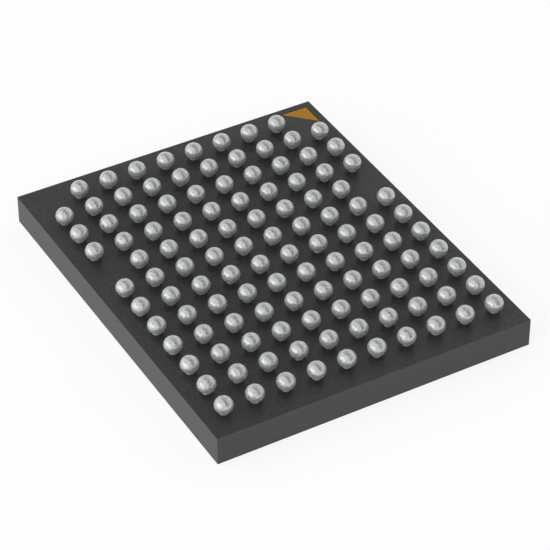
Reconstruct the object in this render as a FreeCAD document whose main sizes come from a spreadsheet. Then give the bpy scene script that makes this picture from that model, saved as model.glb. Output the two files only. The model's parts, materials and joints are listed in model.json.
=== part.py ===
import FreeCAD, Part
import Sketcher
import math
import os

# Ball grid array package, lying on its moulded face with the solder balls up.
# Millimetres. +Z is up, the long side runs along Y, and the origin is the centre of the moulded face.
# Column 1 is at +X and row A at +Y, so corner A1 is the one at +X, +Y.

# Rows are lettered from the back edge; letters that look like numbers are left out.
ROWS = "ABCDEFGHJKLM"
# In these rows the two end sites hold no ball.
SHORT_ROWS = "AE"

SIZES = (
    # the ball array and the outline around it
    ("ball_pitch", 0.5),
    ("column_count", 10),
    ("side_margin", 0.35),
    ("end_margin", 0.45),
    # a ball, the mask opening that its neck fills, and the mask's reach over the land's rim
    ("ball_diameter", 0.27),
    ("neck_height", 0.02),
    ("opening_diameter", 0.14),
    ("land_overlap", 0.03),
    # the layers, from the moulded face up
    ("mould_height", 0.34),
    ("mask_thickness", 0.02),
    ("core_thickness", 0.09),
    ("copper_thickness", 0.015),
    # the die, hung from the substrate by its film
    ("die_width", 3.2),
    ("die_length", 4.2),
    ("die_thickness", 0.12),
    ("film_thickness", 0.02),
    # bond fingers beside the die, each with a via near its outer end
    ("finger_gap", 0.12),
    ("finger_length", 0.3),
    ("finger_width", 0.12),
    ("finger_pitch", 0.25),
    ("corner_clearance", 0.08),
    ("window_clearance", 0.05),
    ("via_diameter", 0.08),
    ("via_inset", 0.08),
    # bond wires, from a pad on the die over its edge to a finger
    ("wire_diameter", 0.02),
    ("pad_inset", 0.06),
    ("loop_height", 0.07),
    ("edge_clearance", 0.02),
    ("stitch_inset", 0.08),
    # the gold triangle in corner A1, and the round index mark in the moulded face under it
    ("mark_leg", 0.44),
    ("mark_inset", 0.12),
    ("mark_clearance", 0.01),
    ("index_diameter", 0.4),
    ("index_inset", 0.5),
    ("index_depth", 0.012),
)

# Outline of the package: the ball array and its margins.
WIDTH = "((Sizes.column_count - 1) * Sizes.ball_pitch + 2 * Sizes.side_margin)"
LENGTH = f"({len(ROWS) - 1} * Sizes.ball_pitch + 2 * Sizes.end_margin)"

# Levels, from the moulded face up.
FILM_FLOOR = "(Sizes.mould_height - Sizes.film_thickness)"
DIE_FACE = f"({FILM_FLOOR} - Sizes.die_thickness)"
CORE_FLOOR = "(Sizes.mould_height + Sizes.mask_thickness)"
CORE_TOP = f"({CORE_FLOOR} + Sizes.core_thickness)"
LAND_TOP = f"({CORE_TOP} + Sizes.copper_thickness)"
MASK_TOP = f"({CORE_TOP} + Sizes.mask_thickness)"
FINGER_FLOOR = f"({CORE_FLOOR} - Sizes.copper_thickness)"

# The four sides of the die: name, turn about Z, and the die sizes across and along that side.
SIDES = (
    ("right", 0, "Sizes.die_width", "Sizes.die_length"),
    ("back", 90, "Sizes.die_length", "Sizes.die_width"),
    ("left", 180, "Sizes.die_width", "Sizes.die_length"),
    ("front", 270, "Sizes.die_length", "Sizes.die_width"),
)

# Vertex numbers of a sketch element, and the numbers of the sketch's own origin and upright axis.
START, END, CENTRE = 1, 2, 3
ORIGIN, UPRIGHT = -1, -2


def make_sheet(doc):
    sheet = doc.addObject("Spreadsheet::Sheet", "Sizes")
    for row, (alias, value) in enumerate(SIZES, start=1):
        sheet.set(f"A{row}", alias.replace("_", " "))
        sheet.set(f"B{row}", str(value))
        sheet.setAlias(f"B{row}", alias)
    doc.recompute()
    return sheet


def origin_feature(body, role):
    return next(item for item in body.Origin.OriginFeatures if item.Role == role)


def add_body(doc, name):
    body = doc.addObject("PartDesign::Body", name)
    body.Label = name
    body.AllowCompound = True
    return body


def add_sketch(body, name, plane, height="0"):
    sketch = body.newObject("Sketcher::SketchObject", name)
    sketch.AttachmentSupport = (origin_feature(body, plane), "")
    sketch.MapMode = "FlatFace"
    sketch.setExpression("AttachmentOffset.Base.z", height)
    return sketch


def drive(sketch, kind, *where, by):
    """Adds a sketch dimension and binds it to an expression."""
    index = sketch.addConstraint(Sketcher.Constraint(kind, *where, value_of(sketch, by)))
    sketch.setExpression(f"Constraints[{index}]", by)


def add_box(doc, name, width, length, height, floor, x="0", y="0"):
    """A box whose floor is centred on (x, y)."""
    box = doc.addObject("Part::Box", name)
    box.Label = name
    box.setExpression("Length", width)
    box.setExpression("Width", length)
    box.setExpression("Height", height)
    box.setExpression("Placement.Base.x", f"{x} - {width} / 2")
    box.setExpression("Placement.Base.y", f"{y} - {length} / 2")
    box.setExpression("Placement.Base.z", floor)
    return box


def value_of(thing, expression):
    return float(thing.evalExpression(expression))


def point(thing, x, y):
    return FreeCAD.Vector(value_of(thing, x), value_of(thing, y))


def place(sketch, element, vertex, x, y):
    """Ties a vertex of a sketch element to the sketch's origin."""
    drive(sketch, "DistanceX", ORIGIN, START, element, vertex, by=x)
    drive(sketch, "DistanceY", ORIGIN, START, element, vertex, by=y)


def draw_path(sketch, corners, closed):
    """Straight lines from corner to corner, each corner a pair of expressions."""
    points = [point(sketch, x, y) for x, y in corners]
    count = len(points) if closed else len(points) - 1
    for index in range(count):
        line = Part.LineSegment(points[index], points[(index + 1) % len(points)])
        sketch.addGeometry(line)
    for index in range(1, count):
        sketch.addConstraint(Sketcher.Constraint("Coincident", index - 1, END, index, START))
    if closed:
        sketch.addConstraint(Sketcher.Constraint("Coincident", count - 1, END, 0, START))
    for index, (x, y) in enumerate(corners):
        if index < count:
            place(sketch, index, START, x, y)
        else:
            place(sketch, index - 1, END, x, y)


def draw_circle(sketch, radius, x, y):
    centre = point(sketch, x, y)
    sketch.addGeometry(Part.Circle(centre, FreeCAD.Vector(0, 0, 1), value_of(sketch, radius)))
    place(sketch, 0, CENTRE, x, y)
    drive(sketch, "Radius", 0, by=radius)


def add_pad(body, name, sketch, height):
    pad = body.newObject("PartDesign::Pad", name)
    pad.Profile = sketch
    pad.setExpression("Length", height)
    return pad


def add_pattern(body, name, feature, columns, column_step, rows="1", row_step="1"):
    """Repeats a feature along X, and along Y where rows are given."""
    pattern = body.newObject("PartDesign::LinearPattern", name)
    pattern.Originals = [feature]
    pattern.Direction = (origin_feature(body, "X_Axis"), [""])
    pattern.Mode = "Spacing"
    pattern.setExpression("Offset", column_step)
    pattern.setExpression("Occurrences", columns)
    pattern.Direction2 = (origin_feature(body, "Y_Axis"), [""])
    pattern.Mode2 = "Spacing"
    # this list starts with a gap of zero, which would stack the first two copies
    pattern.Spacings2 = []
    pattern.setExpression("Offset2", row_step)
    pattern.setExpression("Occurrences2", rows)
    body.Tip = pattern
    return pattern


def fuse(doc, name, shapes):
    joined = doc.addObject("Part::MultiFuse", name)
    joined.Shapes = shapes
    return joined


def cut(doc, name, base, tool):
    result = doc.addObject("Part::Cut", name)
    result.Label = name
    result.Base = base
    result.Tool = tool
    return result


# Ball sites

BALL_RADIUS = "(Sizes.ball_diameter / 2)"
NECK_RADIUS = "(Sizes.opening_diameter / 2)"
LAND_RADIUS = f"({NECK_RADIUS} + Sizes.land_overlap)"
# A ball's underside meets its neck this high above the mask, and its centre follows from that.
NECK_TOP = f"({MASK_TOP} + Sizes.neck_height)"
BALL_CENTRE = f"({NECK_TOP} + sqrt({BALL_RADIUS} ^ 2 - {NECK_RADIUS} ^ 2))"
BALL_TOP = f"({BALL_CENTRE} + {BALL_RADIUS})"


def row_y(index):
    return f"({(len(ROWS) - 1) / 2 - index} * Sizes.ball_pitch)"


def first_x(columns):
    return f"(-({columns} - 1) / 2 * Sizes.ball_pitch)"


def columns_in(letter):
    return "(Sizes.column_count - 2)" if letter in SHORT_ROWS else "Sizes.column_count"


def long_runs():
    """Each run of neighbouring rows whose end sites hold balls: its last row's index and its row count."""
    runs = []
    length = 0
    for index, letter in enumerate(ROWS):
        if letter in SHORT_ROWS:
            length = 0
            continue
        length += 1
        if index + 1 == len(ROWS) or ROWS[index + 1] in SHORT_ROWS:
            runs.append((index, length))
    return runs


def add_sites(doc, name, radius, floor, height):
    """Discs on every ball site: one block of inner columns, and the two end columns run by run."""
    inner = "(Sizes.column_count - 2)"
    blocks = [(first_x(inner), inner, "Sizes.ball_pitch", len(ROWS) - 1, len(ROWS))]
    for last, rows in long_runs():
        ends_step = "((Sizes.column_count - 1) * Sizes.ball_pitch)"
        blocks.append((first_x("Sizes.column_count"), "2", ends_step, last, rows))
    body = add_body(doc, name)
    for index, (x, columns, step, last, rows) in enumerate(blocks):
        sketch = add_sketch(body, f"{name}_sketch_{index}", "XY_Plane", floor)
        draw_circle(sketch, radius, x, row_y(last))
        disc = add_pad(body, f"{name}_disc_{index}", sketch, height)
        add_pattern(body, f"{name}_block_{index}", disc, columns, step, str(rows), "Sizes.ball_pitch")
    return body


def draw_ball_profile(sketch):
    """Half of a reflowed ball: its foot on the land, the straight neck, and a round arc to the top."""
    foot = point(sketch, "0", LAND_TOP)
    foot_edge = point(sketch, NECK_RADIUS, LAND_TOP)
    neck_edge = point(sketch, NECK_RADIUS, NECK_TOP)
    top = point(sketch, "0", BALL_TOP)
    centre = point(sketch, "0", BALL_CENTRE)
    circle = Part.Circle(centre, FreeCAD.Vector(0, 0, 1), value_of(sketch, BALL_RADIUS))
    low_angle = math.atan2(neck_edge.y - centre.y, neck_edge.x)
    sketch.addGeometry(Part.LineSegment(foot, foot_edge))
    sketch.addGeometry(Part.LineSegment(foot_edge, neck_edge))
    sketch.addGeometry(Part.ArcOfCircle(circle, low_angle, math.pi / 2))
    sketch.addGeometry(Part.LineSegment(top, foot))
    for first, second in ((0, 1), (1, 2), (2, 3), (3, 0)):
        sketch.addConstraint(Sketcher.Constraint("Coincident", first, END, second, START))
    sketch.addConstraint(Sketcher.Constraint("Vertical", 1))
    sketch.addConstraint(Sketcher.Constraint("Vertical", 3))
    sketch.addConstraint(Sketcher.Constraint("Horizontal", 0))
    place(sketch, 1, START, NECK_RADIUS, LAND_TOP)
    place(sketch, 2, CENTRE, "0", BALL_CENTRE)
    drive(sketch, "Radius", 2, by=BALL_RADIUS)
    sketch.addConstraint(Sketcher.Constraint("PointOnObject", 3, START, UPRIGHT))


def add_ball_row(doc, index, letter):
    name = f"balls_row_{letter.lower()}"
    body = add_body(doc, name)
    body.setExpression("Placement.Base.x", first_x(columns_in(letter)))
    body.setExpression("Placement.Base.y", row_y(index))
    sketch = add_sketch(body, f"{name}_profile", "XZ_Plane")
    draw_ball_profile(sketch)
    ball = body.newObject("PartDesign::Revolution", f"{name}_ball")
    ball.Profile = sketch
    ball.ReferenceAxis = (sketch, ["V_Axis"])
    ball.Angle = 360
    add_pattern(body, f"{name}_pattern", ball, columns_in(letter), "Sizes.ball_pitch")
    return body


# Corner mark

def add_corner_triangle(doc, name, clearance, floor, height):
    """A right triangle in corner A1 whose three edges stand out from the gold mark by a clearance."""
    inset = f"(Sizes.mark_inset - {clearance})"
    leg = f"(Sizes.mark_leg + (2 + sqrt(2)) * {clearance})"
    x = f"({WIDTH} / 2 - {inset})"
    y = f"({LENGTH} / 2 - {inset})"
    body = add_body(doc, name)
    sketch = add_sketch(body, f"{name}_sketch", "XY_Plane", floor)
    draw_path(sketch, ((x, y), (f"({x} - {leg})", y), (x, f"({y} - {leg})")), closed=True)
    add_pad(body, f"{name}_pad", sketch, height)
    return body


# Bonding on the four sides of the die.
# Each body is drawn for the side at +X, with its first copy on the X axis, and turned to its own side.

def copies_along(along):
    """How many fingers fit along a side of the die."""
    return f"(floor(({along} - 2 * Sizes.corner_clearance) / Sizes.finger_pitch) + 1)"


def half_span(along):
    return f"(({copies_along(along)} - 1) / 2 * Sizes.finger_pitch)"


def add_side_body(doc, name, turn, along):
    """A body turned about Z, and moved along its side so that its copies are centred there."""
    angle = math.radians(turn)
    body = add_body(doc, name)
    turned = FreeCAD.Rotation(FreeCAD.Vector(0, 0, 1), turn)
    body.Placement = FreeCAD.Placement(FreeCAD.Vector(), turned)
    body.setExpression("Placement.Base.x", f"{round(math.sin(angle))} * {half_span(along)}")
    body.setExpression("Placement.Base.y", f"{-round(math.cos(angle))} * {half_span(along)}")
    return body


def repeat_along_side(body, feature, along):
    add_pattern(body, f"{body.Name}_row", feature, "1", "1", copies_along(along), "Sizes.finger_pitch")


def add_fingers(doc, side, turn, across, along):
    name = f"bond_fingers_{side}"
    body = add_side_body(doc, name, turn, along)
    sketch = add_sketch(body, f"{name}_sketch", "XY_Plane", FINGER_FLOOR)
    inner = f"({across} / 2 + Sizes.finger_gap)"
    outer = f"({inner} + Sizes.finger_length)"
    half = "Sizes.finger_width / 2"
    corners = ((inner, f"-{half}"), (outer, f"-{half}"), (outer, half), (inner, half))
    draw_path(sketch, corners, closed=True)
    finger = add_pad(body, f"{name}_finger", sketch, "Sizes.copper_thickness")
    repeat_along_side(body, finger, along)
    return body


def add_vias(doc, side, turn, across, along):
    name = f"vias_{side}"
    body = add_side_body(doc, name, turn, along)
    sketch = add_sketch(body, f"{name}_sketch", "XY_Plane", CORE_FLOOR)
    x = f"({across} / 2 + Sizes.finger_gap + Sizes.finger_length - Sizes.via_inset)"
    draw_circle(sketch, "(Sizes.via_diameter / 2)", x, "0")
    via = add_pad(body, f"{name}_via", sketch, "Sizes.core_thickness")
    repeat_along_side(body, via, along)
    return body


def add_wires(doc, side, turn, across, along):
    """Gold wires that leave the die face, clear its edge and climb to the fingers. Their section has six
    flats."""
    name = f"bond_wires_{side}"
    body = add_side_body(doc, name, turn, along)
    pad_x = f"({across} / 2 - Sizes.pad_inset)"
    edge_x = f"({across} / 2 + Sizes.edge_clearance)"
    stitch_x = f"({across} / 2 + Sizes.finger_gap + Sizes.stitch_inset)"
    loop_z = f"({DIE_FACE} - Sizes.loop_height)"
    stitch_z = f"({FINGER_FLOOR} - Sizes.wire_diameter)"
    path = add_sketch(body, f"{name}_path", "XZ_Plane")
    bends = (
        (pad_x, DIE_FACE),
        (pad_x, loop_z),
        (edge_x, loop_z),
        (stitch_x, stitch_z),
        (stitch_x, FINGER_FLOOR),
    )
    draw_path(path, bends, closed=False)
    section = add_sketch(body, f"{name}_section", "XY_Plane", DIE_FACE)
    flats = 6
    corners = []
    for index in range(flats):
        angle = 2 * math.pi * index / flats
        x = f"({pad_x} + {math.cos(angle):.6f} * Sizes.wire_diameter / 2)"
        corners.append((x, f"({math.sin(angle):.6f} * Sizes.wire_diameter / 2)"))
    draw_path(section, corners, closed=True)
    wire = body.newObject("PartDesign::AdditivePipe", f"{name}_wire")
    wire.Profile = section
    wire.Spine = (path, [f"Edge{index + 1}" for index in range(len(bends) - 1)])
    wire.Transition = "Right corner"
    repeat_along_side(body, wire, along)
    return body


def add_window(doc, side, turn, across, along):
    """The window in the die-side mask over one side's fingers."""
    depth = "(Sizes.finger_length + 2 * Sizes.window_clearance)"
    span = f"(2 * {half_span(along)} + Sizes.finger_width + 2 * Sizes.window_clearance)"
    middle = f"({across} / 2 + Sizes.finger_gap + Sizes.finger_length / 2)"
    angle = math.radians(turn)
    width, length = (depth, span) if turn % 180 == 0 else (span, depth)
    x = f"{round(math.cos(angle))} * {middle}"
    y = f"{round(math.sin(angle))} * {middle}"
    return add_box(doc, f"window_{side}", width, length, "Sizes.mask_thickness", "Sizes.mould_height", x, y)


# Layers

def add_core(doc, vias):
    block = add_box(doc, "core_block", WIDTH, LENGTH, "Sizes.core_thickness", CORE_FLOOR)
    return cut(doc, "substrate_core", block, fuse(doc, "via_holes", vias))


def add_ball_side_mask(doc, lands):
    """The mask over the lands: an opening through it for each ball, and one around the gold mark."""
    thickness = "Sizes.mask_thickness"
    plate = add_box(doc, "ball_mask_plate", WIDTH, LENGTH, thickness, CORE_TOP)
    openings = add_sites(doc, "ball_openings", NECK_RADIUS, CORE_TOP, thickness)
    corner = add_corner_triangle(doc, "mark_opening", "Sizes.mark_clearance", CORE_TOP, thickness)
    return cut(doc, "ball_side_mask", plate, fuse(doc, "mask_openings", [openings, lands, corner]))


def add_die_side_mask(doc, windows):
    plate = add_box(doc, "die_mask_plate", WIDTH, LENGTH, "Sizes.mask_thickness", "Sizes.mould_height")
    return cut(doc, "die_side_mask", plate, fuse(doc, "mask_windows", windows))


def add_mould(doc, windows, sealed):
    """The moulded cap: it fills the mask windows and holds the shape of all that it seals."""
    block = add_box(doc, "mould_block", WIDTH, LENGTH, "Sizes.mould_height", "0")
    index_mark = doc.addObject("Part::Cylinder", "index_mark")
    index_mark.setExpression("Radius", "Sizes.index_diameter / 2")
    index_mark.setExpression("Height", "Sizes.index_depth")
    index_mark.setExpression("Placement.Base.x", f"{WIDTH} / 2 - Sizes.index_inset")
    index_mark.setExpression("Placement.Base.y", f"{LENGTH} / 2 - Sizes.index_inset")
    filled = fuse(doc, "mould_filled", [block] + windows)
    return cut(doc, "mould_cap", filled, fuse(doc, "mould_cavity", sealed + [index_mark]))


def build(doc):
    """Every sub-part, from the moulded cap up to the balls."""
    width, length = "Sizes.die_width", "Sizes.die_length"
    die = add_box(doc, "silicon_die", width, length, "Sizes.die_thickness", DIE_FACE)
    film = add_box(doc, "die_attach_film", width, length, "Sizes.film_thickness", FILM_FLOOR)
    windows = [add_window(doc, *side) for side in SIDES]
    fingers = [add_fingers(doc, *side) for side in SIDES]
    vias = [add_vias(doc, *side) for side in SIDES]
    wires = [add_wires(doc, *side) for side in SIDES]
    lands = add_sites(doc, "ball_lands", LAND_RADIUS, CORE_TOP, "Sizes.copper_thickness")
    mark = add_corner_triangle(doc, "corner_mark", "0", CORE_TOP, "Sizes.copper_thickness")
    balls = [add_ball_row(doc, index, letter) for index, letter in enumerate(ROWS)]
    sealed = [die, film] + fingers + wires
    layers = [add_mould(doc, windows, sealed), add_die_side_mask(doc, windows), add_core(doc, vias)]
    return layers + sealed + vias + [add_ball_side_mask(doc, lands), lands, mark] + balls


def check(doc, parts):
    for item in doc.Objects:
        if "Invalid" in item.State or "Error" in item.State:
            raise RuntimeError(f"{item.Name} failed: {item.State}")
    for part in parts:
        if part.Shape.isNull() or not part.Shape.isValid() or not part.Shape.Solids:
            raise RuntimeError(f"{part.Label} has no valid solid")


def main():
    doc = FreeCAD.newDocument("ball_grid_array")
    make_sheet(doc)
    parts = build(doc)
    doc.recompute()
    check(doc, parts)
    os.makedirs("parts", exist_ok=True)
    for part in parts:
        part.Shape.exportStep(f"parts/{part.Label}.step")
        print(part.Label, len(part.Shape.Solids), "solids", round(part.Shape.Volume, 5), "mm3")


main()
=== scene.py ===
import json
import math

import bmesh
import bpy
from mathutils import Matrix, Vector, noise


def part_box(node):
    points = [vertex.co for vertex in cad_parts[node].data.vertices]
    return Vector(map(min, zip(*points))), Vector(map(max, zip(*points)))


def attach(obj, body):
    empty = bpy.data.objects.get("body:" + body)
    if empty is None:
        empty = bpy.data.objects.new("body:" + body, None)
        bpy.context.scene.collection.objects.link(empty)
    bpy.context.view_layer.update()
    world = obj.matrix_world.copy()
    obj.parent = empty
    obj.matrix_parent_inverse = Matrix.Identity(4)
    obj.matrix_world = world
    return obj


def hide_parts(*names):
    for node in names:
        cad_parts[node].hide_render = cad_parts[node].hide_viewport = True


# Ball grid array package, ball side up, in a white light tent. Metres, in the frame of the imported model.

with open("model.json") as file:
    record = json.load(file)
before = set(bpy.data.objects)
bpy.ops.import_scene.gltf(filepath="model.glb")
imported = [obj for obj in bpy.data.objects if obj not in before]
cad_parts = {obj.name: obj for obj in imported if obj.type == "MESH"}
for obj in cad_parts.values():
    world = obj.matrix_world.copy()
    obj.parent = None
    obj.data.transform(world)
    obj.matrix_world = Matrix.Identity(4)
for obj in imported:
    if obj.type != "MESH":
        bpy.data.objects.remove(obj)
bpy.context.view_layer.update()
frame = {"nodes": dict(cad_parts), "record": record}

MM = 0.001
ROOT = "root"

mounts = {mount["name"]: mount for mount in frame["record"]["mounts"]}
PITCH = mounts["ball_array"]["dims"]["spacing_x_mm"] * MM
MASK_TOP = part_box("ball_side_mask")[1].z
# the round opening in the solder mask that each ball's neck fills
NECK_RADIUS = 0.07 * MM
BALL_ROWS = sorted(name for name in frame["nodes"] if name.startswith("balls_row_"))


# Materials

class Nodes:
    """A short way to add and link shader nodes in one tree."""

    def __init__(self, tree):
        self.tree = tree
        tree.nodes.clear()

    def add(self, kind, **values):
        node = self.tree.nodes.new(kind)
        for name, value in values.items():
            if name in node.inputs:
                self.set(node.inputs[name], value)
            else:
                setattr(node, name, value)
        return node

    def set(self, socket, value):
        if isinstance(value, bpy.types.NodeSocket):
            self.tree.links.new(value, socket)
        else:
            socket.default_value = value

    def math(self, operation, *values):
        node = self.add("ShaderNodeMath", operation=operation)
        for socket, value in zip(node.inputs, values):
            self.set(socket, value)
        return node.outputs[0]

    def dot(self, vector, axis):
        node = self.add("ShaderNodeVectorMath", operation="DOT_PRODUCT")
        self.set(node.inputs[0], vector)
        self.set(node.inputs[1], axis)
        return node.outputs["Value"]

    def remap(self, value, from_low, from_high, to_low, to_high, curve="SMOOTHSTEP"):
        node = self.add("ShaderNodeMapRange", interpolation_type=curve)
        for socket, number in zip(node.inputs, (value, from_low, from_high, to_low, to_high)):
            self.set(socket, number)
        return node.outputs[0]

    def mix(self, share, first, second):
        """A colour between two colours."""
        node = self.add("ShaderNodeMix", data_type="RGBA")
        self.set(node.inputs["Factor"], share)
        self.set(node.inputs[6], first)
        self.set(node.inputs[7], second)
        return node.outputs[2]

    def mix_value(self, share, first, second):
        """A number between two numbers."""
        node = self.add("ShaderNodeMix", data_type="FLOAT")
        for socket, value in zip((node.inputs[0], node.inputs[2], node.inputs[3]), (share, first, second)):
            self.set(socket, value)
        return node.outputs[0]

    def noise(self, place, size, detail=3.0, roughness=0.6):
        """Noise whose features are about `size` metres across."""
        node = self.add("ShaderNodeTexNoise", Vector=place, Detail=detail, Roughness=roughness)
        node.inputs["Scale"].default_value = 1.0 / size
        return node.outputs["Fac"]

    def bump(self, height, depth, strength=1.0, normal=None):
        """Relief `depth` metres high."""
        node = self.add("ShaderNodeBump", Height=height, Distance=depth, Strength=strength)
        if normal is not None:
            self.set(node.inputs["Normal"], normal)
        return node.outputs["Normal"]


def new_material(name):
    material = bpy.data.materials.new(name)
    material.use_nodes = True
    nodes = Nodes(material.node_tree)
    shader = nodes.add("ShaderNodeBsdfPrincipled")
    output = nodes.add("ShaderNodeOutputMaterial")
    nodes.set(output.inputs["Surface"], shader.outputs["BSDF"])
    place = nodes.add("ShaderNodeTexCoord").outputs["Object"]
    return material, nodes, shader, place


def grey(level, tint=(1.0, 1.0, 1.0)):
    return (level * tint[0], level * tint[1], level * tint[2], 1.0)


def solder_material():
    """Reflowed tin alloy: satin, faintly green, with a fine frosted grain."""
    material, nodes, shader, place = new_material("solder")
    blotch = nodes.noise(place, 0.09 * MM, detail=2.0)
    grain = nodes.noise(place, 0.030 * MM, detail=3.0, roughness=0.6)
    share = nodes.remap(grain, 0.35, 0.65, 0.0, 1.0)
    colour = nodes.mix(share, grey(0.49, (0.955, 1.0, 0.965)), grey(0.68, (0.96, 1.0, 0.97)))
    nodes.set(shader.inputs["Base Color"], colour)
    nodes.set(shader.inputs["Roughness"], nodes.remap(grain, 0.3, 0.7, 0.12, 0.24))
    shader.inputs["Metallic"].default_value = 0.42
    shader.inputs["Sheen Weight"].default_value = 0.75
    shader.inputs["Sheen Roughness"].default_value = 0.30
    coarse = nodes.bump(blotch, 0.0022 * MM)
    nodes.set(shader.inputs["Normal"], nodes.bump(grain, 0.0015 * MM, normal=coarse))
    return material


def looks_up_or_down(nodes):
    """1 on the flat faces of the package, 0 on its sawn sides."""
    normal = nodes.add("ShaderNodeNewGeometry").outputs["True Normal"]
    height = nodes.add("ShaderNodeSeparateXYZ", Vector=normal).outputs["Z"]
    return nodes.math("GREATER_THAN", nodes.math("ABSOLUTE", height), 0.5)


BODY_GREY = 0.045


def body_grain(nodes, place, level):
    """Dark filled epoxy: a grey with fine lighter filler specks."""
    speck = nodes.noise(place, 0.028 * MM, detail=4.0, roughness=0.6)
    cloud = nodes.noise(place, 0.4 * MM, detail=2.0)
    share = nodes.remap(speck, 0.3, 0.72, 0.0, 1.0)
    colour = nodes.mix(share, grey(level * 0.72), grey(level * 1.32))
    soft = nodes.mix(nodes.remap(cloud, 0.3, 0.7, 0.0, 0.25), colour, grey(level * 1.05))
    return soft, speck


def body_material(name):
    """The mould and the laminate: their sawn sides have one tone."""
    material, nodes, shader, place = new_material(name)
    colour, speck = body_grain(nodes, place, BODY_GREY)
    nodes.set(shader.inputs["Base Color"], colour)
    nodes.set(shader.inputs["Roughness"], nodes.remap(speck, 0.3, 0.7, 0.42, 0.56))
    nodes.set(shader.inputs["Normal"], nodes.bump(speck, 0.0024 * MM))
    return material


def mask_material():
    """Near-black solder mask with a soft sheen; its sawn edge is as grey as the body."""
    material, nodes, shader, place = new_material("solder_mask")
    fine = nodes.noise(place, 0.035 * MM, detail=4.0, roughness=0.6)
    broad = nodes.noise(place, 0.6 * MM, detail=2.0)
    top = nodes.mix(nodes.remap(fine, 0.3, 0.7, 0.0, 1.0), grey(0.018), grey(0.037))
    side, _ = body_grain(nodes, place, BODY_GREY)
    flat = looks_up_or_down(nodes)
    nodes.set(shader.inputs["Base Color"], nodes.mix(flat, side, top))
    gloss = nodes.remap(broad, 0.3, 0.7, 0.34, 0.42)
    nodes.set(shader.inputs["Roughness"], nodes.mix_value(flat, 0.49, gloss))
    nodes.set(shader.inputs["Normal"], nodes.bump(fine, 0.0008 * MM))
    return material


def gold_material():
    """Thin matte gold over copper."""
    material, nodes, shader, place = new_material("gold")
    grain = nodes.noise(place, 0.02 * MM, detail=4.0, roughness=0.7)
    colour = nodes.mix(nodes.remap(grain, 0.3, 0.7, 0.0, 1.0), (0.47, 0.22, 0.013, 1), (0.58, 0.31, 0.026, 1))
    nodes.set(shader.inputs["Base Color"], colour)
    nodes.set(shader.inputs["Roughness"], nodes.remap(grain, 0.3, 0.7, 0.42, 0.58))
    shader.inputs["Metallic"].default_value = 0.7
    nodes.set(shader.inputs["Normal"], nodes.bump(grain, 0.0008 * MM))
    return material


def copper_material():
    material, nodes, shader, place = new_material("copper")
    grain = nodes.noise(place, 0.02 * MM, detail=4.0)
    colour = nodes.mix(grain, (0.55, 0.26, 0.15, 1), (0.75, 0.40, 0.26, 1))
    nodes.set(shader.inputs["Base Color"], colour)
    nodes.set(shader.inputs["Roughness"], nodes.remap(grain, 0.3, 0.7, 0.3, 0.5))
    shader.inputs["Metallic"].default_value = 1.0
    return material


def silicon_material():
    material, nodes, shader, place = new_material("silicon")
    grain = nodes.noise(place, 0.1 * MM, detail=3.0)
    nodes.set(shader.inputs["Base Color"], nodes.mix(grain, grey(0.16, (0.9, 0.95, 1.1)), grey(0.22)))
    nodes.set(shader.inputs["Roughness"], nodes.remap(grain, 0.3, 0.7, 0.12, 0.2))
    shader.inputs["Metallic"].default_value = 0.6
    return material


def film_material():
    material, nodes, shader, place = new_material("film")
    grain = nodes.noise(place, 0.05 * MM, detail=3.0)
    nodes.set(shader.inputs["Base Color"], nodes.mix(grain, (0.42, 0.36, 0.25, 1), (0.55, 0.48, 0.35, 1)))
    nodes.set(shader.inputs["Roughness"], nodes.remap(grain, 0.3, 0.7, 0.5, 0.7))
    return material


MATERIALS = {
    "solder": solder_material(),
    "solder_mask": mask_material(),
    "mould": body_material("mould"),
    "laminate": body_material("laminate"),
    "gold": gold_material(),
    "copper": copper_material(),
    "silicon": silicon_material(),
    "film": film_material(),
}


def dress_nodes():
    """Every carried-over node takes the material of its slot."""
    for part in frame["record"]["subparts"]:
        mesh = frame["nodes"][part["node"]].data
        mesh.materials.clear()
        mesh.materials.append(MATERIALS[part["material_slot"]])


# Solder balls

SPOKES = 48
ARC_STEPS = 26
NECK_STEPS = 8
# the hollow round the neck: the radius of its arc, and how far the arc's centre stands outside the opening
HOLLOW = 0.020 * MM
HOLLOW_OUT = 0.0184 * MM
# a settled ball is this much wider at its equator and this much lower at its top than a sphere
SETTLED_WIDTH = 0.006 * MM
SETTLED_HEIGHT = 0.006 * MM
# the flat foot has a ring at this share of the neck's radius
FOOT_RING = 0.6
# the skin is uneven from this far above the mask, by this share of the ball's radius
SKIN_START = 0.03 * MM
SKIN_RELIEF = 0.006
# the width of the skin's swells, coarse and fine, and the share that each has
SKIN_SWELLS = ((0.11 * MM, 0.6), (0.05 * MM, 0.4))


def ball_profile(radius, neck, foot_z, centre_z):
    """(distance from the axis, height) from the foot up: the foot, the hollow neck, the ball."""
    out = neck + HOLLOW_OUT
    drop = math.sqrt((radius + HOLLOW) ** 2 - out ** 2)
    hollow_z = centre_z - drop
    points = [(0.0, foot_z), (neck * FOOT_RING, foot_z), (neck, foot_z)]
    # the hollow's arc runs from the face of the mask up to the place where it touches the ball
    first = math.pi + math.asin((hollow_z - MASK_TOP) / HOLLOW)
    last = math.atan2(drop, -out)
    for step in range(NECK_STEPS + 1):
        angle = first + (last - first) * step / NECK_STEPS
        points.append((out + HOLLOW * math.cos(angle), hollow_z + HOLLOW * math.sin(angle)))
    start = math.atan2(-drop, out)
    for step in range(1, ARC_STEPS):
        angle = start + (math.pi / 2 - start) * step / ARC_STEPS
        distance = radius * math.cos(angle) + SETTLED_WIDTH * math.cos(angle) ** 4
        height = radius * math.sin(angle) - SETTLED_HEIGHT * max(math.sin(angle), 0.0) ** 4
        points.append((distance, centre_z + height))
    points.append((0.0, centre_z + radius - SETTLED_HEIGHT))
    return points


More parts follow.
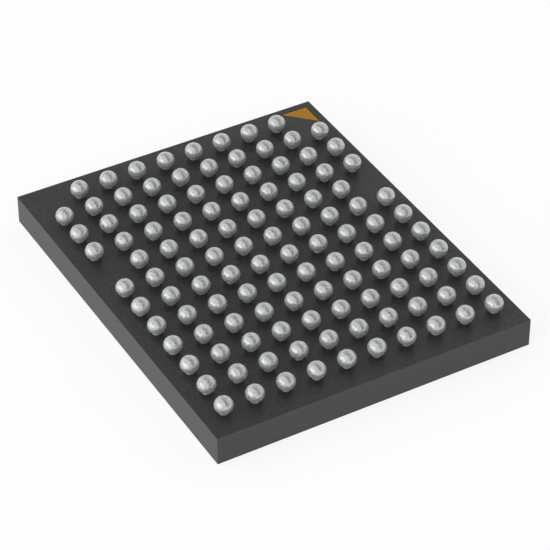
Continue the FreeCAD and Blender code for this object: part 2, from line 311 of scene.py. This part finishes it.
def add_ball(shape, profile, centre, radius):
    """Turns the profile about the ball's axis, and makes the skin a little uneven."""
    x, y, centre_z = centre
    rings = []
    for distance, z in profile:
        if distance == 0.0:
            rings.append([shape.verts.new((x, y, z))])
            continue
        ring = []
        for spoke in range(SPOKES):
            turn = 2 * math.pi * spoke / SPOKES
            ring.append(shape.verts.new((x + distance * math.cos(turn), y + distance * math.sin(turn), z)))
        rings.append(ring)
    for low, high in zip(rings, rings[1:]):
        for spoke in range(SPOKES):
            after = (spoke + 1) % SPOKES
            if len(low) == 1:
                shape.faces.new((low[0], high[after], high[spoke]))
            elif len(high) == 1:
                shape.faces.new((low[spoke], low[after], high[0]))
            else:
                shape.faces.new((low[spoke], low[after], high[after], high[spoke]))
    middle = Vector((x, y, centre_z))
    for ring in rings:
        for vertex in ring:
            if vertex.co.z < MASK_TOP + SKIN_START:
                continue
            ray = vertex.co - middle
            swell = sum(noise.noise(vertex.co / width) * share for width, share in SKIN_SWELLS)
            vertex.co = middle + ray * (1.0 - SKIN_RELIEF + SKIN_RELIEF * swell)


def build_ball_row(node):
    """A finer row of balls in place of a packed one."""
    low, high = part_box(node)
    diameter = high.y - low.y
    radius = diameter / 2
    count = round((high.x - low.x - diameter) / PITCH) + 1
    centre_z = high.z - radius
    profile = ball_profile(radius, NECK_RADIUS, low.z, centre_z)
    shape = bmesh.new()
    for index in range(count):
        centre = (low.x + radius + index * PITCH, (low.y + high.y) / 2, centre_z)
        add_ball(shape, profile, centre, radius)
    bmesh.ops.recalc_face_normals(shape, faces=shape.faces)
    mesh = bpy.data.meshes.new(f"reflowed_{node}")
    shape.to_mesh(mesh)
    shape.free()
    mesh.shade_smooth()
    mesh.materials.append(MATERIALS["solder"])
    piece = bpy.data.objects.new(f"reflowed_{node}", mesh)
    bpy.context.scene.collection.objects.link(piece)
    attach(piece, ROOT)
    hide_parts(node)


# Stage

def build_world():
    """A white light tent all round."""
    world = bpy.data.worlds.new("tent")
    bpy.context.scene.world = world
    world.use_nodes = True
    nodes = Nodes(world.node_tree)
    white = nodes.add("ShaderNodeBackground", Color=grey(1.0), Strength=1.0)
    output = nodes.add("ShaderNodeOutputWorld")
    nodes.set(output.inputs["Surface"], white.outputs[0])


STAGE_RADIUS = 300 * MM

# The tent's dark slot is a card arched overhead from front to back. SLOT_ACROSS points across it. A place on
# the card is named by the cosine of its angle from SLOT_ACROSS, or from the arch's far foot.
SLOT_ACROSS = Vector((0.967, 0.206, -0.150)).normalized()
SLOT_EDGES = (-0.17, 0.58)
SLOT_PALING = (0.02, 0.52)
SLOT_PALE = 0.60
SLOT_FADING = (0.35, 0.80)
SLOT_FAR_PALE = 0.62
# where the arch starts in front and ends behind, in degrees round from the front
SLOT_ENDS = (12, 168)
ARCH_STEPS = 52
WIDTH_STEPS = 12


def slot_material(along):
    """Black at its -X edge, paling towards +X and towards its far end."""
    material = bpy.data.materials.new("tent_slot")
    material.use_nodes = True
    nodes = Nodes(material.node_tree)
    place = nodes.add("ShaderNodeTexCoord").outputs["Object"]
    pale = nodes.remap(nodes.dot(place, SLOT_ACROSS / STAGE_RADIUS), *SLOT_PALING, 0.0, SLOT_PALE)
    pale = nodes.remap(nodes.dot(place, -along / STAGE_RADIUS), *SLOT_FADING, pale, SLOT_FAR_PALE)
    glow = nodes.add("ShaderNodeEmission", Color=grey(1.0), Strength=pale)
    output = nodes.add("ShaderNodeOutputMaterial")
    nodes.set(output.inputs["Surface"], glow.outputs[0])
    return material


def build_slot():
    """The balls mirror the slot as the dark crescent that the photograph shows."""
    over = (Vector((0, 0, 1)) - SLOT_ACROSS * SLOT_ACROSS.z).normalized()
    along = SLOT_ACROSS.cross(over)
    first, last = SLOT_ENDS
    shape = bmesh.new()
    rows = []
    for step in range(ARCH_STEPS + 1):
        turn = math.radians(first + (last - first) * step / ARCH_STEPS)
        spine = along * math.cos(turn) + over * math.sin(turn)
        row = []
        for part in range(WIDTH_STEPS + 1):
            offset = SLOT_EDGES[0] + (SLOT_EDGES[1] - SLOT_EDGES[0]) * part / WIDTH_STEPS
            place = spine * math.sqrt(1 - offset ** 2) + SLOT_ACROSS * offset
            row.append(shape.verts.new(place * STAGE_RADIUS))
        rows.append(row)
    for near, far in zip(rows, rows[1:]):
        for part in range(WIDTH_STEPS):
            shape.faces.new((near[part], near[part + 1], far[part + 1], far[part]))
    mesh = bpy.data.meshes.new("tent_slot")
    shape.to_mesh(mesh)
    shape.free()
    mesh.materials.append(slot_material(along))
    slot = bpy.data.objects.new("tent_slot", mesh)
    bpy.context.scene.collection.objects.link(slot)


# A wide soft lamp low at the -X side, for the highlight on each ball. Its azimuth, lower edge, upper edge and
# width are in degrees as seen from the object. Its brightness comes on top of the tent's, which is 1.
LAMP_AZIMUTH = 182
LAMP_LOW = 1
LAMP_HIGH = 38
LAMP_WIDTH = 70
LAMP_BRIGHTNESS = 1.1


def build_lamp():
    low = math.radians(LAMP_LOW)
    high = math.radians(LAMP_HIGH)
    middle = (low + high) / 2
    turn = math.radians(LAMP_AZIMUTH)
    towards = Vector((math.cos(turn) * math.cos(middle), math.sin(turn) * math.cos(middle), math.sin(middle)))
    data = bpy.data.lights.new("soft_lamp", "AREA")
    data.shape = "RECTANGLE"
    data.size = 2 * STAGE_RADIUS * math.tan(math.radians(LAMP_WIDTH / 2))
    data.size_y = 2 * STAGE_RADIUS * math.tan((high - low) / 2)
    data.energy = LAMP_BRIGHTNESS * math.pi * data.size * data.size_y
    lamp = bpy.data.objects.new("soft_lamp", data)
    lamp.location = towards * STAGE_RADIUS
    lamp.rotation_euler = (-towards).to_track_quat("-Z", "Y").to_euler()
    bpy.context.scene.collection.objects.link(lamp)


def build_floor():
    """A pale floor under the moulded face. It looks nearly white to the camera, in mirrors and through glass,
    and keeps the package's soft shadow."""
    bpy.ops.mesh.primitive_plane_add(size=4.0, location=(0.0, 0.0, 0.0))
    floor = bpy.context.object
    floor.name = "floor"
    material = bpy.data.materials.new("floor")
    material.use_nodes = True
    nodes = Nodes(material.node_tree)
    lit = nodes.add("ShaderNodeBsdfDiffuse", Color=grey(0.20))
    glow = nodes.add("ShaderNodeEmission", Color=grey(1.0), Strength=0.83)
    paper = nodes.add("ShaderNodeBsdfDiffuse", Color=grey(0.70))
    both = nodes.add("ShaderNodeAddShader")
    nodes.set(both.inputs[0], lit.outputs[0])
    nodes.set(both.inputs[1], glow.outputs[0])
    path = nodes.add("ShaderNodeLightPath")
    seen = nodes.math("MAXIMUM", path.outputs["Is Camera Ray"], path.outputs["Is Transmission Ray"])
    seen = nodes.math("MAXIMUM", seen, path.outputs["Is Glossy Ray"])
    mix = nodes.add("ShaderNodeMixShader")
    nodes.set(mix.inputs[0], seen)
    nodes.set(mix.inputs[1], paper.outputs[0])
    nodes.set(mix.inputs[2], both.outputs[0])
    output = nodes.add("ShaderNodeOutputMaterial")
    nodes.set(output.inputs["Surface"], mix.outputs[0])
    floor.data.materials.append(material)


# Camera, from a fit to the ball centres and the corners of the body in the photograph
AZIMUTH = math.radians(-29.78)
ELEVATION = math.radians(38.59)
DISTANCE = 39.09 * MM
AIM = Vector((-0.109 * MM, -0.447 * MM, MASK_TOP))
LENS = 172.35


def build_camera():
    data = bpy.data.cameras.new("camera")
    data.lens = LENS
    data.sensor_width = 36.0
    data.clip_start = 1 * MM
    data.clip_end = 10.0
    camera = bpy.data.objects.new("camera", data)
    back = Vector((
        math.sin(AZIMUTH) * math.cos(ELEVATION),
        -math.cos(AZIMUTH) * math.cos(ELEVATION),
        math.sin(ELEVATION),
    ))
    camera.location = AIM + DISTANCE * back
    camera.rotation_euler = (-back).to_track_quat("-Z", "Y").to_euler()
    bpy.context.scene.collection.objects.link(camera)
    bpy.context.scene.camera = camera


dress_nodes()
for row in BALL_ROWS:
    build_ball_row(row)
build_world()
build_slot()
build_lamp()
build_floor()
build_camera()
bpy.context.scene.view_settings.view_transform = "Standard"
